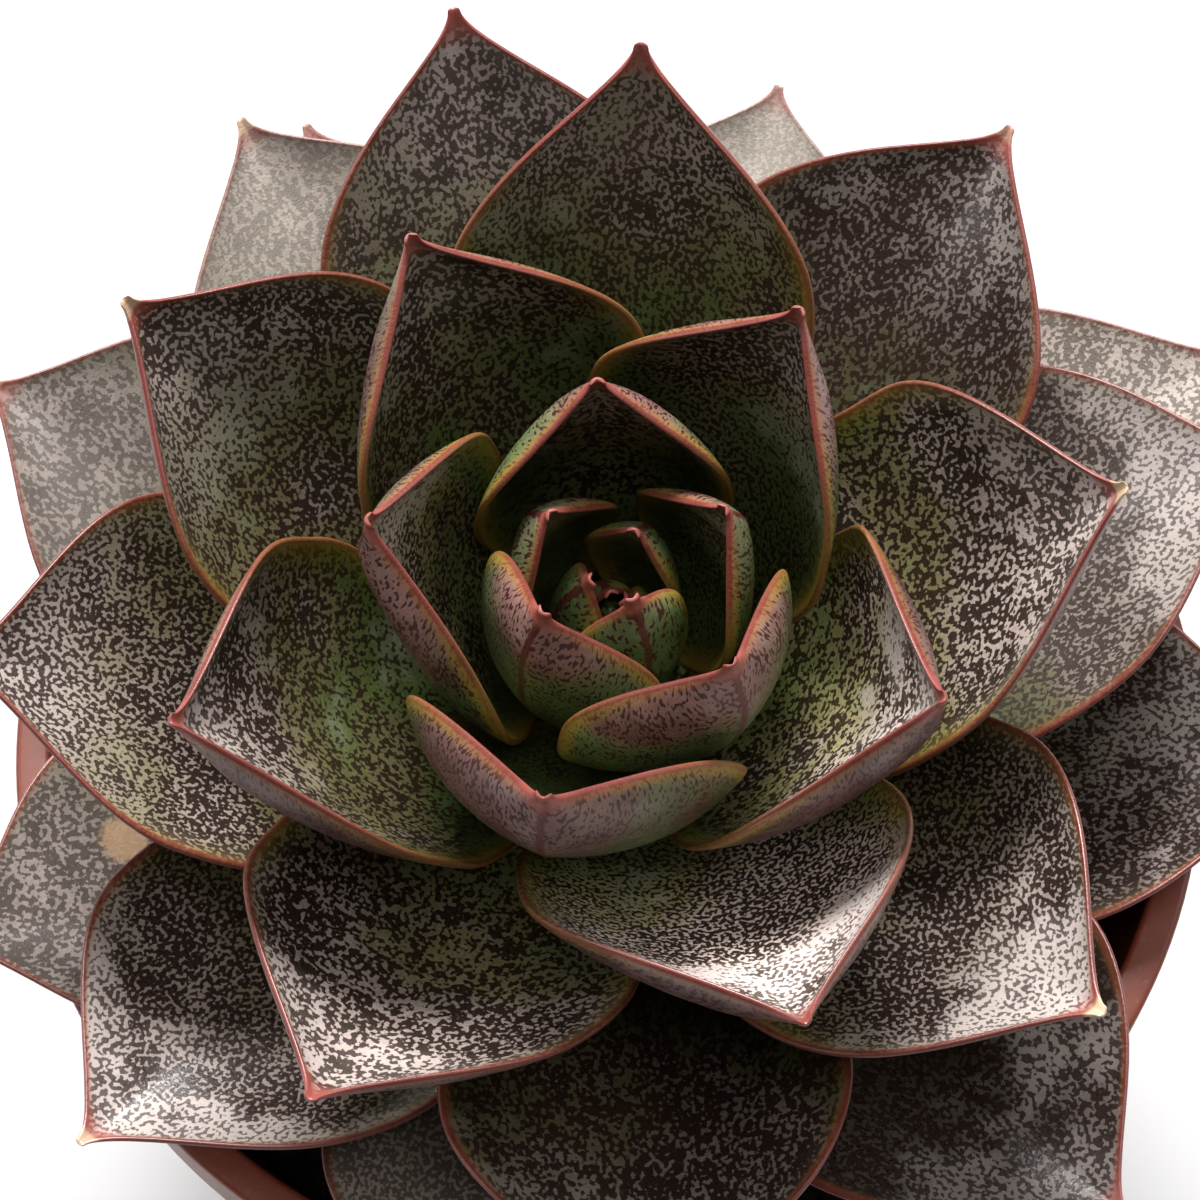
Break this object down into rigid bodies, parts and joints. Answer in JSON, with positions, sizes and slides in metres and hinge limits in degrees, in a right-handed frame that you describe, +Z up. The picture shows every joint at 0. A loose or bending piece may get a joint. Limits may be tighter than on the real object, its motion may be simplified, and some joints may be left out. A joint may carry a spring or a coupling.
{
  "type": "potted echeveria",
  "caption": "Rosette succulent with thick, keeled, red-edged spoon leaves in marbled grey-green and maroon, rooted in dark potting mix in a small round rust-brown nursery pot.",
  "frame": {"origin": "centre of the pot's base on the surface that it stands on", "axes": "+Z up along the pot's axis; the rosette leans a little towards -Y, the front; +X to the right seen from the front"},
  "size_m": [0.0991, 0.0981, 0.1141],
  "materials": {
    "pot_plastic": "satin",
    "potting_mix": "matte",
    "stem_skin": "matte",
    "leaf_flesh": "satin"
  },
  "bodies": {
    "root": {"pot": "pot_plastic", "soil": "potting_mix", "stem": "stem_skin", "heart": "leaf_flesh", "leaf_02": "leaf_flesh", "leaf_03": "leaf_flesh", "leaf_04": "leaf_flesh", "leaf_05": "leaf_flesh", "leaf_06": "leaf_flesh", "leaf_07": "leaf_flesh", "leaf_08": "leaf_flesh", "leaf_09": "leaf_flesh", "leaf_10": "leaf_flesh", "leaf_11": "leaf_flesh", "leaf_12": "leaf_flesh", "leaf_13": "leaf_flesh", "leaf_14": "leaf_flesh", "leaf_15": "leaf_flesh", "leaf_16": "leaf_flesh", "leaf_17": "leaf_flesh", "leaf_18": "leaf_flesh", "leaf_19": "leaf_flesh", "leaf_20": "leaf_flesh", "leaf_21": "leaf_flesh", "leaf_22": "leaf_flesh", "leaf_23": "leaf_flesh", "leaf_24": "leaf_flesh", "leaf_25": "leaf_flesh", "leaf_26": "leaf_flesh", "leaf_27": "leaf_flesh", "leaf_28": "leaf_flesh", "leaf_29": "leaf_flesh", "leaf_30": "leaf_flesh", "leaf_31": "leaf_flesh", "leaf_32": "leaf_flesh", "leaf_33": "leaf_flesh", "leaf_34": "leaf_flesh", "leaf_35": "leaf_flesh", "leaf_36": "leaf_flesh"}
  },
  "joints": []
}
